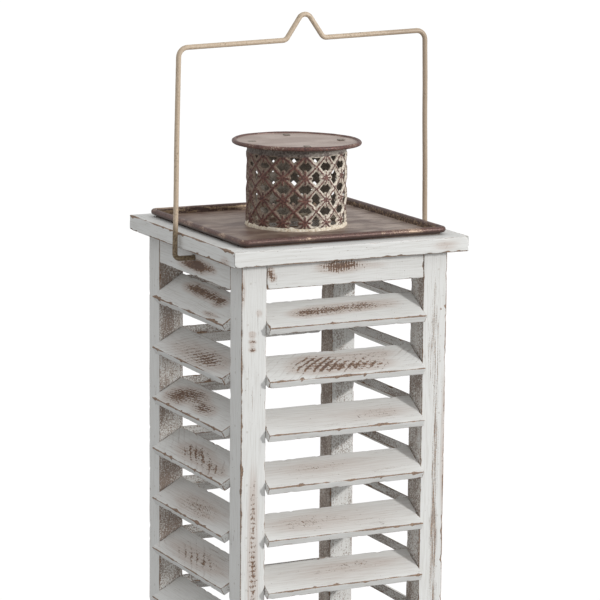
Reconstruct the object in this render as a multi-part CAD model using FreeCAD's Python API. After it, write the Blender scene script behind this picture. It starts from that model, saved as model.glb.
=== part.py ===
"""Louvred wooden candle lantern with a lift-off metal roof and a swinging wire bail.

Frame: origin at the centre of the underside of the base board, +X to the right,
+Y to the back, +Z up. The front is the -Y side. All lengths are in millimetres.
"""
import FreeCAD, Part
import math
import os

V = FreeCAD.Vector
UP = V(0, 0, 1)

# ---- wooden body -------------------------------------------------------------
BODY_HEIGHT = 530.0        # underside of the base to the top of the top frame
BOARD_SIDE = 240.0         # base board and top frame, square
BOARD_THICK = 14.5
BOARD_OVERHANG = 14.5      # board edge beyond the posts
POST_SIDE = 25.0
RAIL_HEIGHT = 24.5
SIDE_HEADER_HEIGHT = 27.2  # the two header rails that carry the bail
RAIL_THICK = 18.0
PLANK_WIDTH = 52.0         # mitred planks of the top frame

# ---- louvre slats ------------------------------------------------------------
SLAT_ROWS = 9
SLAT_PITCH = 49.6
SLAT_ANGLE = math.radians(29.4)
STEEP_SLAT = "slat_left_1" # set a little steeper than the others
STEEP_ANGLE = math.radians(32.8)
SLAT_THICK = 8.0
SLAT_RUN = 32.0            # level distance from the outer to the inner top edge
SLAT_REACH = 8.3           # outer top edge in front of the post faces
FIRST_SLAT_DROP = 73.3     # top frame down to the first slat's outer top edge

# ---- brads -------------------------------------------------------------------
BRAD_RADIUS = 0.7
BRAD_LENGTH = 40.0
BRAD_HEAD_RADIUS = 1.1
BRAD_HEAD_DEPTH = 1.2
BRAD_STAGGER = 4.0         # brads of neighbouring faces pass each other in a post

# ---- metal roof --------------------------------------------------------------
TRAY_HALF = 105.8
TRAY_RIM_RADIUS = 2.9      # rolled rim, on a low upstand
TRAY_RIM_RAISE = 1.8       # rolled rim above the underside of the plate
TRAY_CORNER_RADIUS = 4.5
SHEET = 1.0
FLUE_RADIUS = 43.0
SKIRT_CLEARANCE = 1.0      # locating skirt inside the top frame's opening
SKIRT_DEPTH = 8.0
CHIMNEY_RADIUS = 46.5
CHIMNEY_WALL = 0.8
CHIMNEY_TOP = 79.0         # above the top frame
LATTICE_CELLS = 14
LATTICE_PHASE = -3.0       # degrees from +X to a diamond of the highest row
LATTICE_TOP_ROW = 61.2     # highest row of pierced diamonds, above the top frame
LATTICE_HALF_ROWS = 6
DIAMOND_HALF = 6.2
DIAMOND_CUT = 6.0          # length of a cutter, through the wall and well past both faces
SEAL_HEIGHT = 4.5
SEAL_WIDTH = 3.2
CAP_RADIUS = 61.2
CAP_RIM_RADIUS = 2.0
CAP_TABS = 4
CAP_TAB_WIDTH = 6.0
CAP_TAB_LENGTH = 7.0
CAP_TAB_START = 77.0       # degrees, first folded tab
CAP_TAB_ROOT = 0.5         # a tab grows out of the wall this far under the cap
CAP_TAB_INSET = 0.05       # and keeps this far inside the wall's outer face
CAP_SLOT_CLEARANCE = 0.2
LID_LIFT = 80.0            # travel that clears the upright bail

# ---- bail --------------------------------------------------------------------
WIRE_RADIUS = 2.4
PIVOT_CLEARANCE = 0.1
PIVOT_DROP = 24.0          # hinge axis below the top of the top frame
BAIL_HALF = 131.9          # feet of the legs from the wire's own middle
BAIL_LEAN = 3.6            # the legs lean in by this much at the bar
BAIL_SIDE_PLAY = 6.9       # the wire hangs this far to the right in its holes
BAIL_FOOT = 42.0
BAIL_LEFT_RISE = 171.6     # bar height above the top frame at the left leg
BAIL_RIGHT_RISE = 179.8
PEAK_RISE = 204.0          # corner of the raised hook in the bar
PEAK_X = 7.0
HOOK_HALF = 19.6
LEG_BEND = 9.0             # centreline radii
FOOT_BEND = 5.0
HOOK_BEND = 6.0
PEAK_BEND = 7.0

# ---- candle pan --------------------------------------------------------------
PAN_FLOOR_RADIUS = 46.0
PAN_RIM_RADIUS = 52.0
PAN_HEIGHT = 9.0
PAN_WALL = 1.2             # level width of the flared wall
PAN_TACK_OFFSET = 42.0
TACK_LENGTH = 9.0
TACK_HEAD_RADIUS = 2.0
TACK_HEAD_HEIGHT = 0.6

# ---- worked out from the above -----------------------------------------------
BOARD_HALF = BOARD_SIDE / 2
POST_FACE = BOARD_HALF - BOARD_OVERHANG
POST_INNER = POST_FACE - POST_SIDE
OPENING_HALF = BOARD_HALF - PLANK_WIDTH
TOP = BODY_HEIGHT
TOP_UNDERSIDE = TOP - BOARD_THICK
PIVOT_Z = TOP - PIVOT_DROP
SIDES = {"front": 0, "right": 90, "back": 180, "left": 270}


def turned(shape, degrees):
    """A copy of a shape made on the front side, turned about the lantern's axis."""
    copy = shape.copy()
    copy.rotate(V(0, 0, 0), UP, degrees)
    return copy


def prism(outline, thickness, direction):
    """A solid from a closed flat outline."""
    return Part.Face(Part.makePolygon(outline + outline[:1])).extrude(direction * thickness)


def box(low, high):
    return Part.makeBox(high[0] - low[0], high[1] - low[1], high[2] - low[2], V(*low))


def fastener(head, direction, length, radius, head_radius, head_depth):
    """A round shank and its head, from the head's outer face inwards."""
    shank = Part.makeCylinder(radius, length, head, direction)
    return shank.fuse(Part.makeCylinder(head_radius, head_depth, head, direction)).removeSplitter()


def brad(head, direction):
    return fastener(head, direction, BRAD_LENGTH, BRAD_RADIUS, BRAD_HEAD_RADIUS, BRAD_HEAD_DEPTH)


def slat_tip_height(row):
    return TOP - FIRST_SLAT_DROP - row * SLAT_PITCH


def slat(row, angle):
    """A front slat: a sloping board, its outer long edge the lower one.

    The inner long edge is cut plumb, which keeps it clear of the neighbouring sides' slats.
    """
    outer = V(-POST_INNER, -POST_FACE - SLAT_REACH, slat_tip_height(row))
    inner = outer + V(0, SLAT_RUN, SLAT_RUN * math.tan(angle))
    plumb = UP * (SLAT_THICK / math.cos(angle))
    through = V(0, math.sin(angle), -math.cos(angle)) * SLAT_THICK
    return prism([outer, inner, inner - plumb, outer + through], 2 * POST_INNER, V(1, 0, 0))


def slat_brads(row, stagger):
    """One brad through each post into the slat's ends."""
    along = SLAT_RUN / 2 / math.cos(SLAT_ANGLE) + stagger
    y = -POST_FACE - SLAT_REACH + along * math.cos(SLAT_ANGLE) + SLAT_THICK / 2 * math.sin(SLAT_ANGLE)
    z = slat_tip_height(row) + along * math.sin(SLAT_ANGLE) - SLAT_THICK / 2 * math.cos(SLAT_ANGLE)
    return [brad(V(side * POST_FACE, y, z), V(-side, 0, 0)) for side in (-1, 1)]


def header_height(degrees):
    return RAIL_HEIGHT if degrees % 180 == 0 else SIDE_HEADER_HEIGHT


def rail(bottom, height):
    """A front rail between two posts, flush with their faces."""
    return box((-POST_INNER, -POST_FACE, bottom), (POST_INNER, -POST_FACE + RAIL_THICK, bottom + height))


def rail_brads(bottom, height, stagger):
    z = bottom + height / 2 + stagger
    y = -POST_FACE + RAIL_THICK / 2
    return [brad(V(side * POST_FACE, y, z), V(-side, 0, 0)) for side in (-1, 1)]


def top_plank():
    """A front plank of the top frame, mitred at both ends."""
    outline = [V(-BOARD_HALF, -BOARD_HALF, TOP_UNDERSIDE), V(BOARD_HALF, -BOARD_HALF, TOP_UNDERSIDE),
               V(OPENING_HALF, -OPENING_HALF, TOP_UNDERSIDE), V(-OPENING_HALF, -OPENING_HALF, TOP_UNDERSIDE)]
    return prism(outline, BOARD_THICK, UP)


def board_brads():
    """Brads through the front edge of the top frame and of the base into the front posts."""
    near = -POST_FACE + POST_SIDE / 4
    places = [V(side * (POST_INNER + POST_SIDE / 4), near, 0) for side in (-1, 1)]
    down = [brad(place + V(0, 0, TOP), -UP) for place in places]
    return down + [brad(place, UP) for place in places]


def post(side_x, side_y):
    x = side_x * (POST_FACE + POST_INNER) / 2
    y = side_y * (POST_FACE + POST_INNER) / 2
    half = POST_SIDE / 2
    return box((x - half, y - half, BOARD_THICK), (x + half, y + half, TOP_UNDERSIDE))


def pan():
    """A shallow spun dish: floor, flared wall, thin all over."""
    flare = PAN_RIM_RADIUS - PAN_FLOOR_RADIUS
    inner_rim = PAN_RIM_RADIUS - PAN_WALL
    profile = [V(0, 0, 0), V(PAN_FLOOR_RADIUS, 0, 0), V(PAN_RIM_RADIUS, 0, PAN_HEIGHT),
               V(inner_rim, 0, PAN_HEIGHT), V(inner_rim - flare, 0, SHEET), V(0, 0, SHEET)]
    dish = Part.Face(Part.makePolygon(profile + profile[:1])).revolve(V(0, 0, 0), UP, 360)
    dish.translate(V(0, 0, BOARD_THICK))
    return dish


def pan_tacks():
    head_z = BOARD_THICK + SHEET + TACK_HEAD_HEIGHT
    return [fastener(V(side * PAN_TACK_OFFSET, 0, head_z), -UP, TACK_LENGTH, BRAD_RADIUS,
                     TACK_HEAD_RADIUS, TACK_HEAD_HEIGHT) for side in (-1, 1)]


def rounded_path(points, radii):
    """Straight runs through the points, with a tangent arc of its own radius at each inner point."""
    edges = []
    start = points[0]
    for before, corner, after, radius in zip(points, points[1:], points[2:], radii):
        back = (before - corner).normalize()
        ahead = (after - corner).normalize()
        half_angle = back.getAngle(ahead) / 2
        inset = radius / math.tan(half_angle)
        bisector = (back + ahead).normalize()
        middle = corner + bisector * (radius / math.sin(half_angle) - radius)
        arc_start = corner + back * inset
        arc_end = corner + ahead * inset
        edges.append(Part.LineSegment(start, arc_start).toShape())
        edges.append(Part.Arc(arc_start, middle, arc_end).toShape())
        start = arc_end
    edges.append(Part.LineSegment(start, points[-1]).toShape())
    return Part.Wire(edges)


def swept_round(path, start, direction, radius):
    profile = Part.Wire(Part.makeCircle(radius, start, direction))
    return path.makePipeShell([profile], True, False)


def bail():
    """One bent wire: feet in the side rails, legs, top bar with a raised hook in its middle."""
    left_x = BAIL_SIDE_PLAY - BAIL_HALF
    right_x = BAIL_SIDE_PLAY + BAIL_HALF
    bar_left = left_x + BAIL_LEAN
    bar_right = right_x - BAIL_LEAN
    slope = (BAIL_RIGHT_RISE - BAIL_LEFT_RISE) / (bar_right - bar_left)
    hook_left = PEAK_X - HOOK_HALF
    hook_right = PEAK_X + HOOK_HALF
    points = [V(left_x + BAIL_FOOT, 0, PIVOT_Z), V(left_x, 0, PIVOT_Z),
              V(bar_left, 0, TOP + BAIL_LEFT_RISE),
              V(hook_left, 0, TOP + BAIL_LEFT_RISE + slope * (hook_left - bar_left)),
              V(PEAK_X, 0, TOP + PEAK_RISE),
              V(hook_right, 0, TOP + BAIL_LEFT_RISE + slope * (hook_right - bar_left)),
              V(bar_right, 0, TOP + BAIL_RIGHT_RISE),
              V(right_x, 0, PIVOT_Z), V(right_x - BAIL_FOOT, 0, PIVOT_Z)]
    radii = [FOOT_BEND, LEG_BEND, HOOK_BEND, PEAK_BEND, HOOK_BEND, LEG_BEND, FOOT_BEND]
    path = rounded_path(points, radii)
    wire = swept_round(path, points[0], V(-1, 0, 0), WIRE_RADIUS)
    print("bail volume %.0f, section times length %.0f"
          % (wire.Volume, math.pi * WIRE_RADIUS ** 2 * path.Length))
    return wire


def pivot_hole():
    """Clearance hole for the bail's feet, right through both side rails."""
    start = V(-BOARD_SIDE, 0, PIVOT_Z)
    return Part.makeCylinder(WIRE_RADIUS + PIVOT_CLEARANCE, 2 * BOARD_SIDE, start, V(1, 0, 0))


def rounded_square(half, radius, z):
    """A closed square wire with rounded corners."""
    edges = []
    for quarter in range(4):
        run = Part.LineSegment(V(-half + radius, -half, z), V(half - radius, -half, z)).toShape()
        diagonal = radius * math.sqrt(0.5)
        corner = Part.Arc(V(half - radius, -half, z),
                          V(half - radius + diagonal, -half + radius - diagonal, z),
                          V(half, -half + radius, z)).toShape()
        edges += [turned(run, 90 * quarter), turned(corner, 90 * quarter)]
    return Part.Wire(edges)


def lid_tray():
    """Flat plate with a rolled rim on an upstand, a round flue hole and a turned-down locating skirt."""
    rim_half = TRAY_HALF - TRAY_RIM_RADIUS
    rim_z = TOP + TRAY_RIM_RAISE + TRAY_RIM_RADIUS
    rim_path = rounded_square(rim_half, TRAY_CORNER_RADIUS, rim_z)
    rim_start = V(-rim_half + TRAY_CORNER_RADIUS, -rim_half, rim_z)
    rim = swept_round(rim_path, rim_start, V(1, 0, 0), TRAY_RIM_RADIUS)
    wall_half = rim_half - TRAY_RIM_RADIUS + SHEET
    wall_corner = TRAY_CORNER_RADIUS - TRAY_RIM_RADIUS + SHEET
    whole = Part.Face(rounded_square(wall_half, wall_corner, TOP))
    inside = Part.Face(rounded_square(wall_half - SHEET, wall_corner - SHEET, TOP))
    plate = whole.extrude(UP * SHEET)
    upstand = whole.extrude(UP * (rim_z - TOP)).cut(inside.extrude(UP * (rim_z - TOP)))
    outer = OPENING_HALF - SKIRT_CLEARANCE
    inner = outer - SHEET
    skirt = box((-outer, -outer, TOP - SKIRT_DEPTH), (outer, outer, TOP))
    skirt = skirt.cut(box((-inner, -inner, TOP - SKIRT_DEPTH), (inner, inner, TOP)))
    flue = Part.makeCylinder(FLUE_RADIUS, 2 * SHEET, V(0, 0, TOP - SHEET / 2))
    return plate.fuse([rim, upstand, skirt]).cut(flue).removeSplitter()


def tab(width_extra, slot):
    """A folded fixing tab of the chimney at +X, or the slot it needs in the cap."""
    half = (CAP_TAB_WIDTH + width_extra) / 2
    grow = width_extra / 2
    wall_outer = math.sqrt(CHIMNEY_RADIUS ** 2 - half ** 2) - CAP_TAB_INSET
    stem = box((wall_outer - CHIMNEY_WALL - grow, -half, TOP + CHIMNEY_TOP - CAP_TAB_ROOT),
               (wall_outer + grow, half, TOP + CHIMNEY_TOP + SHEET))
    if slot:
        return stem
    fold = box((wall_outer - CAP_TAB_LENGTH, -half, TOP + CHIMNEY_TOP + SHEET),
               (wall_outer, half, TOP + CHIMNEY_TOP + SHEET + CHIMNEY_WALL))
    return stem.fuse(fold)


def tab_angles():
    return [CAP_TAB_START + 360 * index / CAP_TABS for index in range(CAP_TABS)]


def diamond_cutters():
    """Pierced diamonds on a lattice, staggered by half a cell from row to row."""
    cell = 2 * math.pi * CHIMNEY_RADIUS / LATTICE_CELLS
    start = CHIMNEY_RADIUS - DIAMOND_CUT / 2
    cutters = []
    for half_row in range(LATTICE_HALF_ROWS):
        z = TOP + LATTICE_TOP_ROW - half_row * cell / 2
        outline = [V(start, DIAMOND_HALF, z), V(start, 0, z + DIAMOND_HALF),
                   V(start, -DIAMOND_HALF, z), V(start, 0, z - DIAMOND_HALF)]
        cutter = prism(outline, DIAMOND_CUT, V(1, 0, 0))
        for column in range(LATTICE_CELLS):
            cutters.append(turned(cutter, LATTICE_PHASE + 360 * (column + half_row % 2 / 2) / LATTICE_CELLS))
    return cutters


def chimney_wall():
    """Pierced sheet tube that stands on the tray, with tabs folded over the cap."""
    height = CHIMNEY_TOP - SHEET
    tube = Part.makeCylinder(CHIMNEY_RADIUS, height, V(0, 0, TOP + SHEET))
    tube = tube.cut(Part.makeCylinder(CHIMNEY_RADIUS - CHIMNEY_WALL, height, V(0, 0, TOP + SHEET)))
    tube = tube.cut(diamond_cutters())
    return tube.fuse([turned(tab(0, False), angle) for angle in tab_angles()])


def chimney_seal():
    """Bead of filler round the foot of the chimney."""
    base = TOP + SHEET
    profile = [V(CHIMNEY_RADIUS, 0, base), V(CHIMNEY_RADIUS + SEAL_WIDTH, 0, base),
               V(CHIMNEY_RADIUS + SEAL_WIDTH * 0.7, 0, base + SEAL_HEIGHT * 0.6),
               V(CHIMNEY_RADIUS, 0, base + SEAL_HEIGHT)]
    return Part.Face(Part.makePolygon(profile + profile[:1])).revolve(V(0, 0, 0), UP, 360)


def chimney_cap():
    """Flat disc with a rolled rim and slots for the chimney's tabs."""
    rim_centre = CAP_RADIUS - CAP_RIM_RADIUS
    disc = Part.makeCylinder(rim_centre, SHEET, V(0, 0, TOP + CHIMNEY_TOP))
    rim = Part.makeTorus(rim_centre, CAP_RIM_RADIUS, V(0, 0, TOP + CHIMNEY_TOP + SHEET * 0.6))
    cap = disc.fuse(rim).removeSplitter()
    return cap.cut([turned(tab(CAP_SLOT_CLEARANCE, True), angle) for angle in tab_angles()])


def drilled(piece, fasteners):
    """The piece with a hole for every fastener that enters it."""
    cutters = [item for item in fasteners if item.BoundBox.intersect(piece.BoundBox)]
    return piece.cut(cutters) if cutters else piece


def body_fasteners():
    fasteners = pan_tacks()
    for degrees in SIDES.values():
        stagger = BRAD_STAGGER if degrees % 180 == 0 else -BRAD_STAGGER
        height = header_height(degrees)
        local = board_brads() + rail_brads(BOARD_THICK, RAIL_HEIGHT, stagger)
        local += rail_brads(TOP_UNDERSIDE - height, height, stagger)
        for row in range(SLAT_ROWS):
            local += slat_brads(row, stagger)
        fasteners += [turned(item, degrees) for item in local]
    return fasteners


def wooden_nodes():
    nodes = {"base_board": box((-BOARD_HALF, -BOARD_HALF, 0), (BOARD_HALF, BOARD_HALF, BOARD_THICK))}
    for side_y, front_or_back in ((-1, "front"), (1, "back")):
        for side_x, left_or_right in ((-1, "left"), (1, "right")):
            nodes["post_%s_%s" % (front_or_back, left_or_right)] = post(side_x, side_y)
    for side, degrees in SIDES.items():
        nodes["bottom_rail_" + side] = turned(rail(BOARD_THICK, RAIL_HEIGHT), degrees)
        height = header_height(degrees)
        header = turned(rail(TOP_UNDERSIDE - height, height), degrees)
        nodes["header_rail_" + side] = header.cut(pivot_hole()) if side in ("left", "right") else header
        nodes["top_plank_" + side] = turned(top_plank(), degrees)
        for row in range(SLAT_ROWS):
            name = "slat_%s_%d" % (side, row + 1)
            nodes[name] = turned(slat(row, STEEP_ANGLE if name == STEEP_SLAT else SLAT_ANGLE), degrees)
    return nodes


def main():
    os.makedirs("parts", exist_ok=True)
    fasteners = body_fasteners()
    nodes = {name: drilled(piece, fasteners) for name, piece in wooden_nodes().items()}
    nodes["candle_pan"] = drilled(pan(), fasteners)
    nodes["brads"] = Part.makeCompound(fasteners)
    nodes["lid_tray"] = lid_tray()
    nodes["chimney_wall"] = chimney_wall()
    nodes["chimney_seal"] = chimney_seal()
    nodes["chimney_cap"] = chimney_cap()
    nodes["bail_handle"] = bail()
    for name, shape in nodes.items():
        if not shape.isValid():
            print("invalid shape:", name)
        shape.exportStep("parts/%s.step" % name)
    print(len(nodes), "nodes,", len(fasteners), "fasteners, lid travel", LID_LIFT)


main()
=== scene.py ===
"""Louvred wooden candle lantern with a metal roof: the visible model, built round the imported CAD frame.

Blender works in metres. Shapes here are written in millimetres, and MM turns them into metres.
The front is -Y, +X is to the right and +Z is up, with the origin under the middle of the base.
"""
import math
import random

import bpy
import numpy as np
from mathutils import Matrix, Vector, noise


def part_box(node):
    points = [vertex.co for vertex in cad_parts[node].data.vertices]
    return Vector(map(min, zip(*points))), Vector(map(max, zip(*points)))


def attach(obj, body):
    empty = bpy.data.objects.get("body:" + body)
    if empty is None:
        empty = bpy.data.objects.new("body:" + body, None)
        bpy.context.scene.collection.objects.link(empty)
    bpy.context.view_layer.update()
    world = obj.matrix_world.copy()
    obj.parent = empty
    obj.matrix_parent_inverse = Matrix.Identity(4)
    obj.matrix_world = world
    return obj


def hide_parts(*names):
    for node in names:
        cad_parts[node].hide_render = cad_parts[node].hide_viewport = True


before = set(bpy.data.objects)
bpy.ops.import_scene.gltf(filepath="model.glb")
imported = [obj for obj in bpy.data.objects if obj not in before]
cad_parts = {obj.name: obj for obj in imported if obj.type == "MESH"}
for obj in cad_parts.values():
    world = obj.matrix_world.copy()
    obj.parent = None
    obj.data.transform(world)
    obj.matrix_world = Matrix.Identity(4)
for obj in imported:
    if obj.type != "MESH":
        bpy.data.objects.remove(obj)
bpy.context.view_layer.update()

MM = 0.001
TOUCHING = 1e-6  # a point this near to a face lies on it

# ---- wood, as the CAD has it
SIDES = {"front": 0, "right": 90, "back": 180, "left": 270}
SLAT_ROWS = 9
SLAT_ANGLE = math.radians(29.4)
STEEP_SLAT = "slat_left_1"
STEEP_ANGLE = math.radians(32.8)
SLAT_RUN = 32.0
SLAT_THICK = 8.0
WIRE_HOLE_RADIUS = 3.4  # worn wider than the wire
PLANK_WIDTH = 52.0

# ---- wood surface
GRID_STEP = 2.6  # spacing of a board's mesh away from its edges
EDGE_LINES = (0.0, 0.45, 1.1, 2.1, 3.6)  # mesh lines this far in from each edge
FACE_HOLLOW = 0.22  # depth of the uneven surface below the true face
SAW_DEPTH = 0.16
EDGE_RADIUS = 0.55
EDGE_UNEVEN = 0.35
EDGE_CHIP = 1.6
SLAT_BOW = 0.5

# ---- metal roof
FLUE_RADIUS = 43.0
TRAY_RIM_RADIUS = 2.9
TRAY_RIM_RAISE = 1.8  # rolled rim above the underside of the plate
TRAY_CORNER_RADIUS = 4.5
SHEET = 1.0
SKIRT_GAP = 1.0  # between the skirt and the planks round it
SKIRT_DROP = 8.0
PLATE_SWELL = 0.45  # the plate's bulge between the flue and the rim
CHIMNEY_RADIUS = 46.5
CHIMNEY_HEIGHT = 79.0
CHIMNEY_WALL = 0.8
LATTICE_CELLS = 14
LATTICE_CROSSING = math.radians(9.86)  # from +X to a crossing of two slanted bars
LATTICE_FRONT = math.radians(-110)  # middle of the part where the pattern runs true
LATTICE_TOP_ROW = 61.2  # height of the highest crossings above the top frame
LATTICE_BACK_SHIFT = 0.23  # cells that the pattern has slipped by at the back of the tube
BAR_HALF = 2.6
BAR_CLOGGED = 1.3  # extra width of the bars on the left, where paint fills the piercing
LATTICE_CLOGGED = math.radians(170)
ARM_HALF = 1.95  # upright crosses between the crossings
ARM_REACH = 7.4
RIDGE_HALF = 1.5  # raised middle of a bar
BAND_BOTTOM = 70.0  # plain band under the cap
FOOT_TOP = 5.0
RELIEF = 1.15  # how far the middle of a bar stands out
CAP_TILT = math.radians(0.55)
CAP_TAB_START = math.radians(77)
CAP_TAB_HALF = (3.6, 3.0, 0.4)  # half length, half width and half thickness

# ---- bail
PIVOT = 506.0
WIRE_RADIUS = 2.4
BAIL_FOOT = 42.0
BAIL_LEAN = 3.6  # the legs lean in by this much at the bar
BAIL_LEFT_RISE = 171.6
BAIL_RIGHT_RISE = 179.8
PEAK_RISE = 204.0
PEAK_X = 7.0
HOOK_HALF = 19.6
BAIL_BENDS = (5.0, 9.0, 6.0, 7.0, 6.0, 9.0, 5.0)  # radii from the left foot to the right one

# ---- camera and light
CAMERA_LENS = 175.8
CAMERA_AZIMUTH = math.radians(-26.23)
CAMERA_ELEVATION = math.radians(10.52)
CAMERA_ROLL = math.radians(0.53)
CAMERA_DISTANCE = 2.78
CAMERA_TARGET_RIGHT = 0.0044
CAMERA_TARGET_HEIGHT = 0.458
KEY_AZIMUTH = math.radians(36)
KEY_ELEVATION = math.radians(16.5)
KEY_DISTANCE = 3.5
KEY_TARGET_HEIGHT = 0.4
KEY_SIZE = 0.42
KEY_POWER = 62.0
SKY_ABOVE = 0.82  # brightness of the soft light from straight above, fading to that from below
SKY_BELOW = 0.23
BACKDROP = 1.05  # brightness of the white that the camera sees behind the lantern


def box_mm(node):
    low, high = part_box(node)
    return np.array(low) / MM, np.array(high) / MM


TOP = box_mm("top_plank_front")[1][2]


# ==== meshes
def added(name, data):
    """A new object in the scene, showing the data."""
    made = bpy.data.objects.new(name, data)
    bpy.context.scene.collection.objects.link(made)
    return made


def piece(name, points, faces, material, body, slot, nodes, **attributes):
    """A smooth-shaded piece from points in millimetres, standing for CAD nodes."""
    mesh = bpy.data.meshes.new(name)
    mesh.from_pydata((np.asarray(points) * MM).tolist(), [], [list(map(int, face)) for face in faces])
    mesh.polygons.foreach_set("use_smooth", [True] * len(mesh.polygons))
    for key, values in attributes.items():
        values = np.asarray(values, np.float32)
        kind, field = ("FLOAT_VECTOR", "vector") if values.ndim == 2 else ("FLOAT", "value")
        mesh.attributes.new(key, kind, "POINT").data.foreach_set(field, values.ravel())
    mesh.materials.append(material)
    made = added(name, mesh)
    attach(made, body)
    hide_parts(*nodes)
    return made


def closed_piece(*description, **attributes):
    """The same for a closed shape, with every face turned to the outside."""
    made = piece(*description, **attributes)
    bpy.context.view_layer.objects.active = made
    made.select_set(True)
    bpy.ops.object.mode_set(mode="EDIT")
    bpy.ops.mesh.select_all(action="SELECT")
    bpy.ops.mesh.normals_make_consistent(inside=False)
    bpy.ops.object.mode_set(mode="OBJECT")
    made.select_set(False)


def ripple(points, size, seed):
    """Smooth noise, about -1 to 1, with bumps of about the given size in millimetres."""
    shift = Vector((seed * 7.31, seed * 3.17, seed * 11.93))
    return np.array([noise.noise(Vector(point) / size + shift) for point in points])


def smooth(value, low, high):
    """0 below low, 1 above high, and an even curve between them."""
    share = np.clip((value - low) / (high - low), 0, 1)
    return share * share * (3 - 2 * share)


def loft(rings, closed=False):
    """Points and faces of a tube through closed rings. Open ends are capped with a fan."""
    rings = np.asarray(rings, float)
    count, around = rings.shape[:2]
    points = list(rings.reshape(-1, 3))
    faces = []
    for ring in range(count if closed else count - 1):
        here, there = ring * around, (ring + 1) % count * around
        for step in range(around):
            ahead = (step + 1) % around
            faces.append((here + step, here + ahead, there + ahead, there + step))
    if not closed:
        for ring, turn in ((0, -1), (count - 1, 1)):
            points.append(rings[ring].mean(axis=0))
            start = ring * around
            for step in range(around):
                pair = (start + step, start + (step + 1) % around)
                faces.append(pair[::turn] + (len(points) - 1,))
    return np.array(points), faces


def unit(vectors):
    return vectors / np.linalg.norm(vectors, axis=-1, keepdims=True)


def full_turn(count):
    """Evenly spaced angles round a circle."""
    return np.arange(count) * 2 * math.pi / count


def round_axis(angle, radius, height):
    """Points at the given angles, radii and heights about the lantern's axis."""
    return np.stack([np.cos(angle) * radius, np.sin(angle) * radius, height + 0 * angle], axis=1)


def spun(profile, around):
    """The surface that a line of (radius, height) points sweeps round the lantern's axis."""
    return loft([round_axis(full_turn(around), radius, height) for radius, height in profile])


def joined(*parts):
    """One set of points and faces from several."""
    points, faces = [], []
    for part_points, part_faces in parts:
        start = sum(len(group) for group in points)
        points.append(np.asarray(part_points))
        faces += [tuple(int(corner) + start for corner in face) for face in part_faces]
    return np.concatenate(points), faces


# ==== boards
def grid_lines(half):
    """Cuts along one side of a board: close together near both ends, even between."""
    near = [gap for gap in EDGE_LINES if gap < half * 0.8]
    inner = half - near[-1]
    middle = np.linspace(-inner, inner, max(1, round(2 * inner / GRID_STEP)) + 1)
    ends = half - np.array(near[:-1])
    return np.concatenate([-ends, middle, ends[::-1]])


def hole_lines(line, centre):
    """The same cuts with five of them brought to a hole."""
    kept = line[np.abs(line - centre) > WIRE_HOLE_RADIUS * 1.2]
    return np.sort(np.concatenate([kept, centre + WIRE_HOLE_RADIUS * np.linspace(-1, 1, 5)]))


def block_grid(lines):
    """Surface points and quads of a block cut by three sets of lines, and the points' grid numbers."""
    counts = [len(line) for line in lines]
    index = np.indices(counts)
    outside = np.zeros(counts, bool)
    for axis in range(3):
        outside |= (index[axis] == 0) | (index[axis] == counts[axis] - 1)
    ids = np.full(counts, -1)
    ids[outside] = np.arange(outside.sum())
    points = np.stack([lines[axis][index[axis][outside]] for axis in range(3)], axis=1)
    quads = []
    for axis in range(3):
        for end in (0, -1):
            sheet = np.take(ids, end, axis=axis)
            corners = [sheet[:-1, :-1], sheet[1:, :-1], sheet[1:, 1:], sheet[:-1, 1:]]
            quad = np.stack(corners, axis=-1).reshape(-1, 4)
            quads.append(quad[:, ::-1] if (axis == 1) != (end == 0) else quad)
    return points, np.concatenate(quads), ids


def drill(points, faces, ids, lines, centre):
    """Opens a round hole through a board's two broad faces, in place of four by four cells."""
    column, row = (int(np.argmin(np.abs(lines[axis] - centre[axis]))) for axis in (0, 1))
    block = [(a, b) for a in range(-2, 3) for b in range(-2, 3)]
    rim = sorted((math.atan2(b, a), a, b) for a, b in block if max(abs(a), abs(b)) == 2)
    tube = []
    lost = set()
    for end in (0, -1):
        square = {int(ids[column + a, row + b, end]) for a, b in block}
        ring = [int(ids[column + a, row + b, end]) for _, a, b in rim]
        lost |= square - set(ring)
        faces = [face for face in faces if not set(map(int, face)) <= square]
        for vertex, (angle, _, _) in zip(ring, rim):
            points[vertex, 0] = centre[0] + WIRE_HOLE_RADIUS * math.cos(angle)
            points[vertex, 1] = centre[1] + WIRE_HOLE_RADIUS * math.sin(angle)
        tube.append(ring)
    back, front = tube
    for step in range(len(rim)):
        ahead = (step + 1) % len(rim)
        faces.append((front[step], front[ahead], back[ahead], back[step]))
    return faces, lost


def worn_block(points, half, radius):
    """Rounds a block's edges and corners, each point by its own radius."""
    inner = half - radius[:, None]
    core = np.clip(points, -inner, inner)
    out = points - core
    normal = out / np.maximum(np.linalg.norm(out, axis=1), 1e-9)[:, None]
    return core + normal * radius[:, None], normal


def look(saw, patches, edges, tip, bare_and_shade, streaks=(), ends=None):
    """How one board is finished.

    saw: angle of the saw lines from the length in degrees, their spacing, and their strength.
    patches: rubbed places as (face axis, along, across, half length, half width, strength).
    streaks: places with long thin brown lines, in the same form.
    edges: width of the wear along the edges; tip: along a slat's outer top edge; ends: round the end faces.
    bare_and_shade: faces left nearly unpainted and darkened with painted shade, as (axis, side, amount).
    """
    return {"saw": saw, "patches": patches, "edges": edges, "tip": tip, "bare_and_shade": bare_and_shade, "streaks": streaks,
            "ends": edges if ends is None else ends}


def places(flat, distance, described):
    """How strongly each point lies in the described places of a board's faces."""
    strength = np.zeros(len(flat))
    for axis, along, across, reach, breadth, amount in described:
        other = 2 if axis == 1 else 1
        on_face = (distance[:, axis] < TOUCHING) & (flat[:, axis] > 0)
        blob = ((flat[:, 0] - along) / reach) ** 2 + ((flat[:, other] - across) / breadth) ** 2
        strength += on_face * amount * np.exp(-blob)
    return strength


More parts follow.
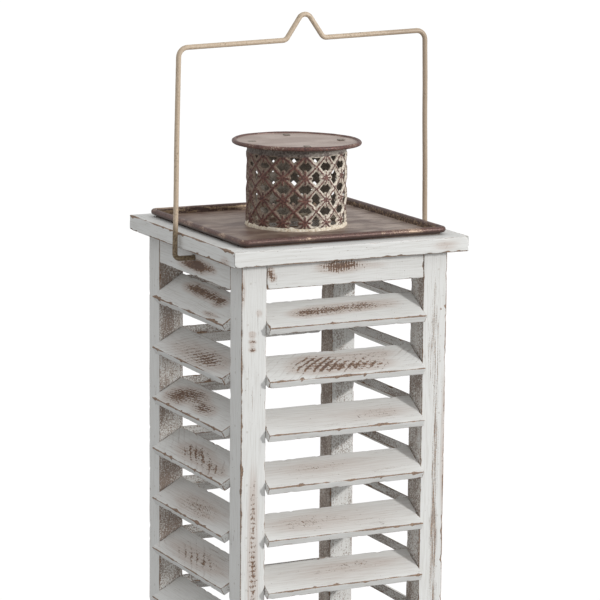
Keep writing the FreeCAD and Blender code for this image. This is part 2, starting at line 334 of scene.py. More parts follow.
def board(node, axes, style, mitred=False, hole=None):
    """A painted board in place of a CAD node. The axes are its length, width and outward thickness."""
    axes = np.array(axes, float)
    low, high = box_mm(node)
    centre = np.array(style.get("centre", (low + high) / 2))
    half = np.array(style.get("half", np.abs(axes) @ (high - low) / 2))
    rng = random.Random(node)
    seed = rng.uniform(1, 60)
    lines = [grid_lines(size) for size in half]
    if hole is not None:
        lines[0], lines[1] = hole_lines(lines[0], hole[0]), hole_lines(lines[1], hole[1])
    flat, faces, ids = block_grid(lines)
    lost = set()
    if hole is not None:
        faces, lost = drill(flat, faces, ids, lines, hole)

    distance = half - np.abs(flat)
    gap = np.sort(distance, axis=1)[:, 1]
    chip = smooth(ripple(flat, 7.0, seed), 0.18, 0.55)
    radius = EDGE_RADIUS + EDGE_UNEVEN * (1 + ripple(flat, 22.0, seed + 1)) + EDGE_CHIP * chip
    radius = np.minimum(radius, half.min() * 0.8)
    points, normal = worn_block(flat, half, radius)

    angle, spacing, strength = style["saw"]
    angle = math.radians(angle)
    broad = flat[:, 1] + flat[:, 2]
    saw = (broad * math.cos(angle) - flat[:, 0] * math.sin(angle)) / spacing
    along_saw = broad * math.sin(angle) + flat[:, 0] * math.cos(angle)
    depth = strength * smooth(ripple(flat, 26.0, seed + 3), -0.7, 0.5)
    depth = depth * np.where(distance[:, 2] < 0.5, 1.0, 0.2)
    hollow = FACE_HOLLOW * (0.5 + 0.5 * ripple(flat, 18.0, seed + 2))
    if spacing > GRID_STEP * 1.3:
        hollow = hollow + SAW_DEPTH * depth * (0.5 + 0.5 * np.sin(2 * math.pi * saw))
    points = points - normal * np.clip(hollow, 0, None)[:, None]

    patch, streak = (places(flat, distance, style[kind]) for kind in ("patches", "streaks"))
    # How far each face is left unpainted and darkened with painted shade.
    bare_and_shade = np.full(len(flat), np.inf)
    for axis in range(3):
        for side in (-1, 1):
            amount = max([given for a, s, given in style["bare_and_shade"] if (a, s) == (axis, side)], default=0.0)
            on_face = half[axis] - side * flat[:, axis] < TOUCHING
            bare_and_shade = np.where(on_face, np.minimum(bare_and_shade, amount), bare_and_shade)
    at_tip = (flat[:, 1] > 0) & (flat[:, 2] > 0)
    wear = np.where(at_tip, style["tip"], style["edges"])
    at_end = distance[:, 0] <= gap
    wear = np.where(at_end, style["ends"], wear)
    wear = wear * (1 + 1.4 * chip)

    lean = (half[2] - points[:, 2]) * (half[1] - points[:, 1]) / (2 * half[1])
    points[:, 1] += style.get("plumb", 0.0) * lean
    if mitred:
        points[:, 0] *= (half[0] - half[1] + points[:, 1]) / half[0]
    bow = rng.uniform(-1, 1) * style.get("bow", 0.0)
    points[:, 2] += bow * (1 - (flat[:, 0] / half[0]) ** 2)
    shift = np.array([rng.uniform(-400, 400) for _ in range(3)])
    saw_way = np.stack([saw, along_saw, np.full(len(flat), seed)], axis=1)
    attributes = {"grain": flat + shift, "edge_gap": gap, "edge_wear": wear, "patch": patch,
                  "streak": streak, "saw": saw_way, "saw_depth": depth, "bare_and_shade": bare_and_shade}
    kept = np.array([number not in lost for number in range(len(flat))])
    attributes = {key: values[kept] for key, values in attributes.items()}
    faces = (np.cumsum(kept) - 1)[np.array(faces)]
    if np.linalg.det(axes) < 0:
        faces = faces[:, ::-1]
    piece(node + "_wood", centre + points[kept] @ axes, faces, PAINTED_WOOD, "lantern_body", "painted_wood",
          [node], **attributes)


def turned(vector, degrees):
    """The vector turned about the lantern's axis."""
    turn = math.radians(degrees)
    x, y, z = vector
    return (x * math.cos(turn) - y * math.sin(turn), x * math.sin(turn) + y * math.cos(turn), z)


def side_axes(length, width, thick, degrees):
    return [turned(vector, degrees) for vector in (length, width, thick)]


def random_place(rng, axis, ranges):
    return axis, *(rng.uniform(*limits) for limits in ranges)


def random_look(rng, bare_and_shade, tip=0.9):
    """A finish of its own for a board that no one describes."""
    ranges = ((-60, 60), (-10, 10), (8, 34), (3, 8), (0.4, 0.95))
    patches = [random_place(rng, 2, ranges) for _ in range(rng.randint(0, 3))]
    saw = (rng.uniform(20, 160), rng.choice((1.9, 2.4, 4.5, 6.5)), rng.uniform(0.2, 0.8))
    return look(saw, patches, rng.uniform(0.35, 0.7), tip * rng.uniform(0.8, 1.2), bare_and_shade)


# Slat underside, inner edge and ends: left unpainted and darkened with painted shade, as (axis, side,
# amount).
SLAT_BARE_AND_SHADE = ((2, -1, 0.45), (1, -1, 0.45), (0, -1, 0.35), (0, 1, 0.35))


def slat_look(saw, edges, tip, rubbed, streaked=(), thin=0.0):
    """A described slat: its places are all on the upper face, and thin paint covers that whole face."""
    patches = [(2, *place) for place in rubbed]
    if thin:
        patches.append((2, 0, 0, 90, 20, thin))
    return look(saw, patches, edges, tip, SLAT_BARE_AND_SHADE, [(2, *place) for place in streaked])


# Rubbed and sawn places, listed for the boards that face the front and the left
SLAT_LOOKS = {
    "slat_front_1": slat_look((48, 2.1, 0.4), 0.5, 0.8, [
        (-38, 1, 16, 5.2, 1.25), (-8, -1, 28, 6.2, 1.4), (26, -3, 16, 5.6, 1.1), (52, -4, 14, 8, 0.4)]),
    "slat_front_2": slat_look((-37, 5.0, 0.7), 0.5, 1.0, [
        (-34, 2, 22, 9, 1.0), (-6, 4, 28, 8, 1.1), (28, 6, 24, 7, 1.0), (34, -8, 26, 6, 0.8),
        (-20, -8, 26, 6, 0.85)]),
    "slat_front_3": slat_look((80, 2.6, 0.3), 0.5, 0.7, [(40, 2, 30, 6, 0.4)],
                              [(-10, 12, 24, 3, 1.1), (46, 5, 28, 4, 0.9)], 0.32),
    "slat_front_4": slat_look((85, 2.2, 0.3), 0.45, 0.75, [(-30, -4, 30, 6, 0.3)],
                              [(44, 9, 40, 4, 1.1), (-40, 2, 30, 5, 0.6)], 0.4),
    "slat_front_5": slat_look((70, 2.4, 0.3), 0.45, 0.85, [(-40, 0, 30, 8, 0.45)],
                              [(20, 6, 50, 5, 0.7)], 0.4),
    "slat_front_6": slat_look((60, 2.0, 0.3), 0.45, 0.9, [(20, -4, 40, 5, 0.4)], [(-30, 8, 50, 4, 0.7)], 0.4),
    "slat_left_1": slat_look((-62, 3.6, 0.7), 0.5, 0.85, [
        (-34, -8, 18, 6, 1.2), (-10, -7, 22, 6, 1.35), (14, -6, 20, 5, 1.2), (36, -4, 13, 6, 1.4),
        (44, 13, 16, 3, 1.0)]),
    "slat_left_2": slat_look((-31, 5.4, 1.0), 0.5, 0.85, [(10, 4, 70, 14, 0.8), (25, 6, 24, 7, 0.7)]),
    "slat_left_3": slat_look((-36, 3.6, 0.6), 0.6, 0.95, [
        (-46, 4, 22, 11, 1.6), (-20, -6, 22, 8, 1.2), (14, 4, 22, 7, 1.5)]),
    "slat_left_4": slat_look((28, 6.9, 0.7), 0.6, 1.0, [(-10, 2, 36, 11, 1.15), (45, 8, 26, 8, 0.95)]),
    "slat_left_5": slat_look((40, 2.2, 0.5), 0.5, 0.85, [(0, 4, 40, 9, 0.6)], thin=0.35),
    "slat_left_6": slat_look((28, 6.9, 0.7), 0.5, 0.75, [(0, 4, 60, 9, 0.6)], [(20, -11, 44, 3, 1.2)], 0.3),
}


def slats():
    """The louvre slats. Their outer long edges are square and their inner ones plumb."""
    half_thick = SLAT_THICK / 2
    for side, degrees in SIDES.items():
        for row in range(1, SLAT_ROWS + 1):
            node = "slat_%s_%d" % (side, row)
            angle = STEEP_ANGLE if node == STEEP_SLAT else SLAT_ANGLE
            cosine, sine = math.cos(angle), math.sin(angle)
            half_width = SLAT_RUN / cosine / 2
            low, high = box_mm(node)
            reach = np.abs([low[:2], high[:2]]).max()
            tip_height = high[2] - SLAT_RUN * math.tan(angle)
            style = dict(SLAT_LOOKS.get(node) or random_look(random.Random(node + "_look"), SLAT_BARE_AND_SHADE))
            style["half"] = (max(high[0] - low[0], high[1] - low[1]) / 2, half_width, half_thick)
            style["centre"] = turned((0, cosine * half_width + sine * half_thick - reach,
                                      tip_height + sine * half_width - cosine * half_thick), degrees)
            style["plumb"] = math.tan(angle)
            style["bow"] = SLAT_BOW
            board(node, side_axes((1, 0, 0), (0, -cosine, -sine), (0, -sine, cosine), degrees), style)


# Post faces toward the inside: left unpainted and darkened with painted shade.
POST_BARE_AND_SHADE = ((1, -1, 0.6), (2, -1, 0.6))
POST_LOOKS = {
    "post_front_left": look(
        (88, 4.5, 0.25), [(2, along, 1.5, 2.2, 3, 1.7) for along in (172, 179, 186)] + [
            (2, 226, 12, 14, 2.6, 1.2), (2, 205, -5, 3, 2.6, 1.0), (2, 25, 0, 34, 4.2, 0.95),
            (2, -40, 0, 38, 4.6, 1.25)],
        0.4, 0.75, POST_BARE_AND_SHADE, [(2, 130, 2, 40, 3.2, 0.8), (1, -100, 2, 60, 4, 0.8)]),
    "post_front_right": look(
        (86, 3.0, 0.2), [(2, 60, 11.5, 80, 2.6, 0.7)], 0.5, 0.9, POST_BARE_AND_SHADE,
        [(2, 200, 1, 60, 4, 1.0), (2, 100, 3, 80, 4, 1.1), (2, 0, 2, 70, 4.2, 1.1), (2, 150, -5, 60, 4, 0.85),
         (2, -70, 3, 70, 4.4, 1.05)]),
}


def posts():
    """The four corner posts."""
    for end_y, y in (("front", -1), ("back", 1)):
        for end_x, x in (("left", -1), ("right", 1)):
            node = "post_%s_%s" % (end_y, end_x)
            style = POST_LOOKS.get(node)
            if style is None:
                rng = random.Random(node + "_look")
                ranges = ((-200, 200), (-6, 6), (15, 50), (2.6, 4), (0.5, 1.1))
                patches = [random_place(rng, rng.choice((1, 2)), ranges) for _ in range(9)]
                # On the right-hand back post, the face toward the left, which is in shade, gets far more
                # brown than the face toward the front: painted shade.
                inner = ((1, -1, 0.75), (2, -1, 0.36)) if x > 0 else POST_BARE_AND_SHADE
                style = look((86, 2.8, 0.2), patches[:4], 0.45, 0.8, inner, patches[4:])
            board(node, [(0, 0, 1), (x, 0, 0), (0, y, 0)], style)


# Rail faces toward the inside and underneath: left unpainted and darkened with painted shade.
RAIL_BARE_AND_SHADE = ((2, -1, 0.7), (1, -1, 0.35))
RAIL_LOOKS = {
    "header_rail_front": look(
        (88, 2.6, 0.35),
        [(2, -6, 5, 19, 5.4, 2.1), (2, -77, 3, 3, 5, 1.6), (2, -74, -2, 3, 3, 1.3), (2, 30, 3, 14, 3, 0.5)],
        0.5, 0.5, RAIL_BARE_AND_SHADE),
    "header_rail_left": look(
        (80, 2.2, 0.35), [(2, -12, -4, 22, 4.4, 1.9), (2, 13, -2, 16, 5.4, 2.5), (2, 38, -1, 12, 4, 1.2)],
        0.5, 0.5, RAIL_BARE_AND_SHADE),
}


def rails():
    """The rails between the posts. Those on the left and right have the bail's holes at the top."""
    for side, degrees in SIDES.items():
        axes = side_axes((1, 0, 0), (0, 0, 1), (0, -1, 0), degrees)
        for kind in ("bottom_rail_", "header_rail_"):
            node = kind + side
            style = RAIL_LOOKS.get(node) or random_look(random.Random(node + "_look"), RAIL_BARE_AND_SHADE, 0.5)
            hole = None
            if kind == "header_rail_" and side in ("left", "right"):
                low, high = box_mm(node)
                hole = (0.0, PIVOT - (low[2] + high[2]) / 2)
            board(node, axes, style, hole=hole)


# Plank undersides and inner edges: left unpainted and darkened with painted shade.
PLANK_BARE_AND_SHADE = ((2, -1, 0.7), (1, -1, 0.5))


def frames():
    """The four mitred planks round the opening, and the base board."""
    for side, degrees in SIDES.items():
        if side == "front":
            style = look((70, 2.0, 0.3), [(1, 96, 0, 14, 5, 0.6)], 0.75, 0.15, PLANK_BARE_AND_SHADE,
                         [(1, -40, -5, 60, 3, 0.5), (1, 60, 6, 50, 3, 0.9)], 0.1)
        else:
            style = look((70, 2.0, 0.35), [(1, 100, -5, 10, 5, 0.8)], 1.05, 1.05, PLANK_BARE_AND_SHADE,
                         [(1, -20, 0, 60, 4, 0.5)], 0.15)
        board("top_plank_" + side, side_axes((1, 0, 0), (0, -1, 0), (0, 0, 1), degrees), style, mitred=True)
    patches = [(1, -50, 0, 60, 4, 0.6), (2, 20, 30, 70, 40, 0.4)]
    # The base board's underside: left unpainted and darkened with painted shade.
    style = look((75, 2.4, 0.5), patches, 0.8, 0.9, ((2, -1, 0.8),))
    board("base_board", [(1, 0, 0), (0, -1, 0), (0, 0, 1)], style)


# ==== roof
def rounded_square(half, radius, per_side=54, per_corner=10):
    """Points round a square with rounded corners, and their outward directions."""
    points, outward = [], []
    for quarter in range(4):
        for step in range(per_side + per_corner):
            along = (half - radius) * (2 * min(step / per_side, 1) - 1)
            angle = math.pi / 2 * (max(step - per_side, 0) / per_corner - 1)
            x, y = math.cos(angle), math.sin(angle)
            points.append(turned((along + radius * x, radius - half + radius * y, 0), 90 * quarter))
            outward.append(turned((x, y, 0), 90 * quarter))
    return np.array(points), np.array(outward)


def lid_tray():
    """Sheet plate with a flue hole and a rolled rim on a low upstand, and the square skirt under it."""
    centre, outward = rounded_square(box_mm("lid_tray")[1][0] - TRAY_RIM_RADIUS, TRAY_CORNER_RADIUS)
    flue = unit(centre) * FLUE_RADIUS
    inner_edge = centre - outward * TRAY_RIM_RADIUS
    outer_edge = inner_edge + outward * SHEET
    rim_z = TOP + TRAY_RIM_RAISE + TRAY_RIM_RADIUS
    meet = math.acos(SHEET / TRAY_RIM_RADIUS - 1)
    rings, rim_share, roll_share = [], [], []

    def add(ring, height, on_rim, on_roll):
        ring[:, 2] = height
        rings.append(ring)
        rim_share.append(on_rim)
        roll_share.append(on_roll)

    for share in np.linspace(0, 1, 26):
        ring = flue + (inner_edge - flue) * share
        swell = PLATE_SWELL * 4 * share * (1 - share) * (0.6 + ripple(ring, 45.0, 3))
        add(ring, TOP + SHEET + swell, 0.0, 0.0)
    for share in (0.1, 0.5):
        add(inner_edge.copy(), TOP + SHEET + (rim_z - TOP - SHEET) * share, 1.0, 0.0)
    swell = 1 + 0.05 * ripple(centre, 9.0, 8)
    for share in np.linspace(0, 1, 17):
        angle = math.pi + (-meet - math.pi) * share
        ring = centre + outward * TRAY_RIM_RADIUS * math.cos(angle) * swell[:, None]
        add(ring, rim_z + TRAY_RIM_RADIUS * math.sin(angle) * swell.clip(0.9, 1), 1.0, share)
    for share in (0.0, 0.5, 1.0):
        add(outer_edge + (flue - outer_edge) * share, TOP, 0.3, 1.0)

    skirt_half = box_mm("top_plank_front")[1][0] - PLANK_WIDTH - SKIRT_GAP
    bottom = TOP - SKIRT_DROP
    skirt_rings = []
    for inset, z in ((0, TOP + 0.3), (0, bottom + 0.3), (0.3, bottom), (0.8, bottom), (1, bottom + 0.3),
                     (1, TOP + 0.3)):
        ring, _ = rounded_square(skirt_half - inset, 2.0 - inset, 20, 4)
        ring[:, 2] = z
        skirt_rings.append(ring)
    points, faces = joined(loft(rings, closed=True), loft(skirt_rings, closed=True))
    rest = np.zeros(len(points) - len(centre) * len(rings))
    rim, roll = (np.concatenate([np.repeat(shares, len(centre)), rest]) for shares in (rim_share, roll_share))
    closed_piece("lid_tray_metal", points, faces, roof_metal(), "lid", "roof_metal", ["lid_tray"],
                 place=points, rim=rim, roll=roll)


def wrapped(value):
    """The distance to the nearest whole number, with its sign."""
    return value - np.round(value)


def lattice_depth(angle, height):
    """How far outside the nearest bar and band a place on the chimney is, and how much of a ridge it is.

    Distances are in millimetres and below 0 in the metal.
    """
    cell = 2 * math.pi * CHIMNEY_RADIUS / LATTICE_CELLS
    from_front = 2 * math.pi * np.abs(wrapped((angle - LATTICE_FRONT) / (2 * math.pi)))
    behind = smooth(from_front, math.radians(55), math.radians(115))
    slip = LATTICE_BACK_SHIFT * behind
    clogged = BAR_CLOGGED * smooth(np.cos(angle - LATTICE_CLOGGED), 0.72, 0.92)
    across = (angle - LATTICE_CROSSING) * LATTICE_CELLS / (2 * math.pi) - slip
    up = (height - LATTICE_TOP_ROW) / cell
    slanted = np.minimum(np.abs(wrapped(across - up)), np.abs(wrapped(across + up))) * cell / math.sqrt(2)
    x, z = np.abs(wrapped(across - 0.5)) * cell, np.abs(wrapped(up - 0.5)) * cell
    reach = ARM_REACH - ARM_HALF
    arms = np.minimum(np.hypot(np.maximum(x - reach, 0), z), np.hypot(x, np.maximum(z - reach, 0)))
    bars = np.minimum(slanted - BAR_HALF - clogged - 0.35 * behind, arms - ARM_HALF - clogged - 0.8 * behind)
    ridge = np.clip(1 - np.minimum(slanted, arms) / RIDGE_HALF, 0, 1)
    bands = np.minimum(BAND_BOTTOM - height, height - FOOT_TOP)
    return bars, bands, ridge


def pierced_sheet(field):
    """Cells of a grid that closes on itself, kept where the field is below 0 and cut along its zero line."""
    columns, rows = field.shape
    places, numbers, faces = [], {}, []

    def number(key, place):
        if key not in numbers:
            numbers[key] = len(places)
            places.append(place)
        return numbers[key]

    for i in range(columns):
        for j in range(rows - 1):
            ring = ((i, j), (i + 1, j), (i + 1, j + 1), (i, j + 1))
            values = [field[a % columns, b] for a, b in ring]
            if min(values) >= 0:
                continue
            face = []
            for step in range(4):
                here, there = ring[step], ring[(step + 1) % 4]
                value, following = values[step], values[(step + 1) % 4]
                if value < 0:
                    face.append(number((here[0] % columns, here[1]), here))
                if (value < 0) != (following < 0):
                    share = min(0.9, max(0.1, value / (value - following)))
                    place = tuple(p + share * (q - p) for p, q in zip(here, there))
                    ends = sorted([(here[0] % columns, here[1]), (there[0] % columns, there[1])])
                    face.append(number(tuple(ends), place))
            faces.append(face)
    return np.array(places, float), faces


def thickened(faces, count):
    """The faces, the same faces on the inner side, and the walls along open edges."""
    directed = {(face[k], face[(k + 1) % len(face)]) for face in faces for k in range(len(face))}
    inner = [[corner + count for corner in reversed(face)] for face in faces]
    walls = [[b, a, a + count, b + count] for a, b in sorted(directed) if (b, a) not in directed]
    return faces + inner + walls


def small_plate(half, centre, angle, radius=0.35):
    """A little plate with rounded edges, turned about the lantern's axis."""
    lines = [np.array([-size, -size + radius, 0, size - radius, size]) for size in half]
    points, faces, _ = block_grid(lines)
    points, _ = worn_block(points, np.array(half), np.full(len(points), radius))
    points = points + np.array(centre)
    return np.array([turned(point, math.degrees(angle)) for point in points]), [tuple(face) for face in faces]


def uneven_lattice(angle, height):
    """Places on the chimney and what the lattice is there, with its bars a little crooked."""
    places = round_axis(angle, CHIMNEY_RADIUS, height)
    jog, lift = ripple(places, 6.0, 21), ripple(places, 6.0, 22)
    return places, *lattice_depth(angle + 0.7 * jog / CHIMNEY_RADIUS, height + 0.7 * lift)


def chimney_wall():
    """Pressed lattice bent into a tube, with four tabs folded over the cap."""
    cap_top = box_mm("chimney_wall")[1][2]
    height = CHIMNEY_HEIGHT - SHEET
    columns, rows = 420, 113
    turn = np.repeat(full_turn(columns), rows)
    level = np.tile(np.linspace(SHEET, CHIMNEY_HEIGHT, rows), columns)
    spots, bars, bands, _ = uneven_lattice(turn, level)
    field = np.minimum(bars + 0.25 * ripple(spots, 2.2, 23), bands)
    places, faces = pierced_sheet(field.reshape(columns, rows))
    turn = places[:, 0] * 2 * math.pi / columns
    level = SHEET + places[:, 1] * height / (rows - 1)
    spots, bars, bands, crest = uneven_lattice(turn, level)
    band = smooth(-bands, 0.0, 1.5)
    raised = 0.35 * smooth(-bars, 0, 0.6) + RELIEF * np.sqrt(1 - (1 - crest) ** 2)
    raised = raised * (1 - band) + (0.3 + 0.35 * raised) * band
    wave = 0.45 * ripple(spots, 16.0, 24) + 0.12 * ripple(spots, 2.5, 25)
    sheet_radius = CHIMNEY_RADIUS - 0.35 + wave
    shells = [round_axis(turn, sheet_radius + out, TOP + level) for out in (raised, -CHIMNEY_WALL)]
    sheet = np.concatenate(shells), thickened(faces, len(spots))
    tab_centre = (CHIMNEY_RADIUS - CAP_TAB_HALF[0], 0, cap_top - 0.35)
    tabs = [small_plate(CAP_TAB_HALF, tab_centre, CAP_TAB_START + k * math.pi / 2) for k in range(4)]
    points, faces = joined(sheet, *tabs)
    extra = len(points) - 2 * len(spots)
    crest = np.concatenate([crest, np.zeros(len(spots)), np.ones(extra)])
    band = np.concatenate([band, band, np.ones(extra)])
    # The inner shell, and most of each tab, take the darker painted shade of the inside.
    inside = np.concatenate([np.zeros(len(spots)), np.ones(len(spots)), np.full(extra, 0.8)])
    closed_piece("chimney_lattice", points, faces, chimney_metal(), "lid", "chimney_metal", ["chimney_wall"],
                 place=points - np.array((0, 0, TOP + SHEET)), crest=crest, band=band, inside=inside)


def chimney_seal():
    """Lumpy bead of painted filler, pressed round the foot of the chimney by hand."""
    way = round_axis(full_turn(260), 1, 0)
    lumps = ripple(way * CHIMNEY_RADIUS, 7.0, 31)
    fine = ripple(way * CHIMNEY_RADIUS, 2.4, 32)
    width = 1.7 + 0.8 * lumps + 0.4 * fine
    height = 4.0 + 1.7 * ripple(way * CHIMNEY_RADIUS, 9.0, 33) + 0.7 * fine
    rings = []
    for share in np.linspace(0, 1, 12):
        bulge = math.sin(math.pi * min(1, share * 1.05) * 0.5)
        out = CHIMNEY_RADIUS - 1.2 + (width + 1.0) * math.cos(share * math.pi / 2) ** 0.7
        level = np.maximum(height, 1.8) * bulge
        ring = way * out[:, None]
        ring[:, 2] = TOP + SHEET - 0.3 + level
        rings.append(ring)
    rings.append(way * (CHIMNEY_RADIUS - 1.6) + np.array((0, 0, TOP + SHEET - 0.3)))
    points, faces = loft(rings, closed=True)
    closed_piece("chimney_seal_bead", points, faces, filler(), "lid", "filler", ["chimney_seal"],
                 place=points)


def chimney_cap():
    """Flat disc with a rolled rim, a touch out of level."""
    low, high = box_mm("chimney_cap")
    outer = high[0]
    rim_radius = (high[2] - low[2]) / 2
    rim_z = (low[2] + high[2]) / 2
    rim_centre = outer - rim_radius
    top, bottom = rim_z + 0.45, rim_z - 0.55
    profile = [(radius, top) for radius in np.linspace(1.5, rim_centre - rim_radius * 1.05, 24)]
    profile.append((rim_centre - rim_radius * 0.93, top - 0.25))
    for angle in np.linspace(math.radians(165), math.radians(-165), 15):
        profile.append((rim_centre + rim_radius * math.cos(angle), rim_z + rim_radius * math.sin(angle)))
    profile += [(radius, bottom) for radius in np.linspace(rim_centre - rim_radius, 1.5, 10)]
    points, faces = spun(profile, 180)
    radius = np.hypot(points[:, 0], points[:, 1])
    rim = smooth(radius, rim_centre - rim_radius * 1.15, rim_centre - rim_radius * 0.75)
    dent = 0.3 * ripple(points, 30.0, 41) * smooth(radius, 0, 20) + 0.08 * ripple(points, 5.0, 42)
    points[:, 2] += dent * (points[:, 2] > rim_z) + math.tan(CAP_TILT) * -points[:, 0]
    closed_piece("chimney_cap_disc", points, faces, cap_metal(), "lid", "cap_metal", ["chimney_cap"],
                 place=points, rim=rim)


# ==== bail and pan
def rounded_route(points, radii, step=2.5):
    """Points along straight runs joined by tangent arcs."""
    route = [np.array(points[0], float)]

    def run_to(end):
        start = route[-1]
        pieces = max(1, int(np.linalg.norm(end - start) / step))
        route.extend(start + (end - start) * k / pieces for k in range(1, pieces + 1))

    for before, corner, after, radius in zip(points, points[1:], points[2:], radii):
        back = unit(np.subtract(before, corner))
        ahead = unit(np.subtract(after, corner))
        half = math.acos(np.clip(back @ ahead, -1, 1)) / 2
        inset = radius / math.tan(half)
        centre = corner + unit(back + ahead) * radius / math.sin(half)
        run_to(corner + back * inset)
        start_way, end_way = route[-1] - centre, corner + ahead * inset - centre
        total = math.pi - 2 * half
        for share in np.linspace(0.125, 1, 8):
            blend = math.sin((1 - share) * total) * start_way + math.sin(share * total) * end_way
            route.append(centre + blend / math.sin(total))
    run_to(np.array(points[-1], float))
    return np.array(route)


def bail():
    """One bent wire: feet in the side rails, legs, and a bar with a raised hook."""
    low, high = box_mm("bail_handle")
    left, right = low[0] + WIRE_RADIUS, high[0] - WIRE_RADIUS
    bar_left, bar_right = left + BAIL_LEAN, right - BAIL_LEAN
    slope = (BAIL_RIGHT_RISE - BAIL_LEFT_RISE) / (bar_right - bar_left)
    hook_left, hook_right = PEAK_X - HOOK_HALF, PEAK_X + HOOK_HALF
    hook_rises = [BAIL_LEFT_RISE + slope * (x - bar_left) for x in (hook_left, hook_right)]
    corners = [(left + BAIL_FOOT, 0, PIVOT), (left, 0, PIVOT), (bar_left, 0, TOP + BAIL_LEFT_RISE),
               (hook_left, 0, TOP + hook_rises[0]), (PEAK_X, 0, TOP + PEAK_RISE),
               (hook_right, 0, TOP + hook_rises[1]), (bar_right, 0, TOP + BAIL_RIGHT_RISE), (right, 0, PIVOT),
               (right - BAIL_FOOT, 0, PIVOT)]
    route = rounded_route(corners, BAIL_BENDS)
    above = smooth(route[:, 2], PIVOT + 10, PIVOT + 40)
    route[:, 0] += 0.35 * ripple(route, 60.0, 51) * above
    route[:, 1] += 0.5 * ripple(route, 70.0, 52) * above
    tangent = unit(np.gradient(route, axis=0))
    side = unit(np.cross(tangent, (0, 1, 0)))
    other = np.cross(side, tangent)
    swell = WIRE_RADIUS * (1 + 0.03 * ripple(route, 5.0, 53))
    rings = []
    for place, a, b, radius in zip(route, side, other, swell):
        rings.append([place + radius * (a * math.cos(t) + b * math.sin(t)) for t in full_turn(16)])
    points, faces = loft(rings)
    points[:, 1] += 0.06 * ripple(points, 1.8, 54)
    closed_piece("bail_wire", points, faces, bail_paint(), "bail", "bail_wire", ["bail_handle"], place=points)


def candle_pan():
    """Shallow spun dish that the candle stands in."""
    low, high = box_mm("candle_pan")
    floor_z, rim_z, rim = low[2], high[2], high[0]
    floor_radius = 46.0
    profile = [(radius, floor_z + SHEET) for radius in np.linspace(1.2, floor_radius - 3.5, 14)]
    profile += [(floor_radius - 1.6, floor_z + SHEET + 0.35), (floor_radius, floor_z + SHEET + 1.6)]
    profile += [(rim - 1.9, rim_z - 1.2), (rim - 1.3, rim_z - 0.3), (rim - 0.6, rim_z), (rim, rim_z - 0.5),
                (rim - 0.2, rim_z - 1.4), (floor_radius + 1.2, floor_z + 1.4), (floor_radius - 1, floor_z)]
    profile += [(radius, floor_z) for radius in np.linspace(floor_radius - 4, 1.2, 6)]
    points, faces = spun(profile, 144)
    closed_piece("candle_pan_metal", points, faces, pan_metal(), "lantern_body", "pan_metal", ["candle_pan"],
                 place=points)


# ==== materials
class Shader:
    """A node tree, written from a surface's values to its shader: a material's, or the world's."""

    def __init__(self, name, kind="materials"):
        self.owner = getattr(bpy.data, kind).new(name)
        self.owner.use_nodes = True
        self.tree = self.owner.node_tree

    def node(self, kind, inputs, **settings):
        made = self.tree.nodes.new(kind)
        for key, value in settings.items():
            setattr(made, key, value)
        for key, value in inputs.items():
            self.plug(value, made.inputs[key])
        return made

    def plug(self, value, socket):
        if isinstance(value, bpy.types.NodeSocket):
            self.tree.links.new(value, socket)
        elif socket.type == "RGBA":
            socket.default_value = (*value, 1)
        else:
            socket.default_value = value

    def attribute(self, name, output="Fac"):
        return self.node("ShaderNodeAttribute", {}, attribute_name=name).outputs[output]

    def math(self, operation, first, second=0.0, third=0.0):
        return self.node("ShaderNodeMath", {0: first, 1: second, 2: third}, operation=operation).outputs[0]

    def total(self, *terms):
        """The sum of numbers and of (value, factor) pairs."""
        result = float(sum(term for term in terms if not isinstance(term, tuple)))
        for value, factor in (term for term in terms if isinstance(term, tuple)):
            result = self.math("MULTIPLY_ADD", value, factor, result)
        return result

    def times(self, first, second):
        return self.math("MULTIPLY", first, second)

    def noise(self, vector, scale, detail=2.0, roughness=0.5):
        """Noise of 0 to 1 at one scale, or at its own scale along each axis."""
        if isinstance(scale, tuple):
            vector = self.node("ShaderNodeVectorMath", {0: vector, 1: scale}, operation="MULTIPLY").outputs[0]
            scale = 1.0
        inputs = {"Vector": vector, "Scale": scale, "Detail": detail, "Roughness": roughness}
        return self.node("ShaderNodeTexNoise", inputs).outputs["Fac"]

    def split(self, vector):
        return self.node("ShaderNodeSeparateXYZ", {0: vector}).outputs

    def band(self, value, low, high):
        inputs = {"Value": value, "From Min": low, "From Max": high, "To Min": 0.0, "To Max": 1.0}
        return self.node("ShaderNodeMapRange", inputs, interpolation_type="SMOOTHSTEP").outputs["Result"]

    def mix(self, share, first, second):
        return self.node("ShaderNodeMix", {0: share, 6: first, 7: second}, data_type="RGBA").outputs[2]

    def bump(self, height, strength, distance):
        inputs = {"Height": height, "Strength": strength, "Distance": distance}
        return self.node("ShaderNodeBump", inputs).outputs["Normal"]

    def surface(self, output, share, first, second):
        """Ends the tree in a mix of two shaders."""
        both = self.node("ShaderNodeMixShader", {0: share, 1: first, 2: second}).outputs[0]
        self.plug(both, self.tree.nodes[output].inputs["Surface"])

    def finish(self, **values):
        names = {"colour": "Base Color", "roughness": "Roughness", "metal": "Metallic", "normal": "Normal",
                 "specular": "Specular IOR Level"}
        for key, value in values.items():
            self.plug(value, self.tree.nodes["Principled BSDF"].inputs[names[key]])
        return self.owner


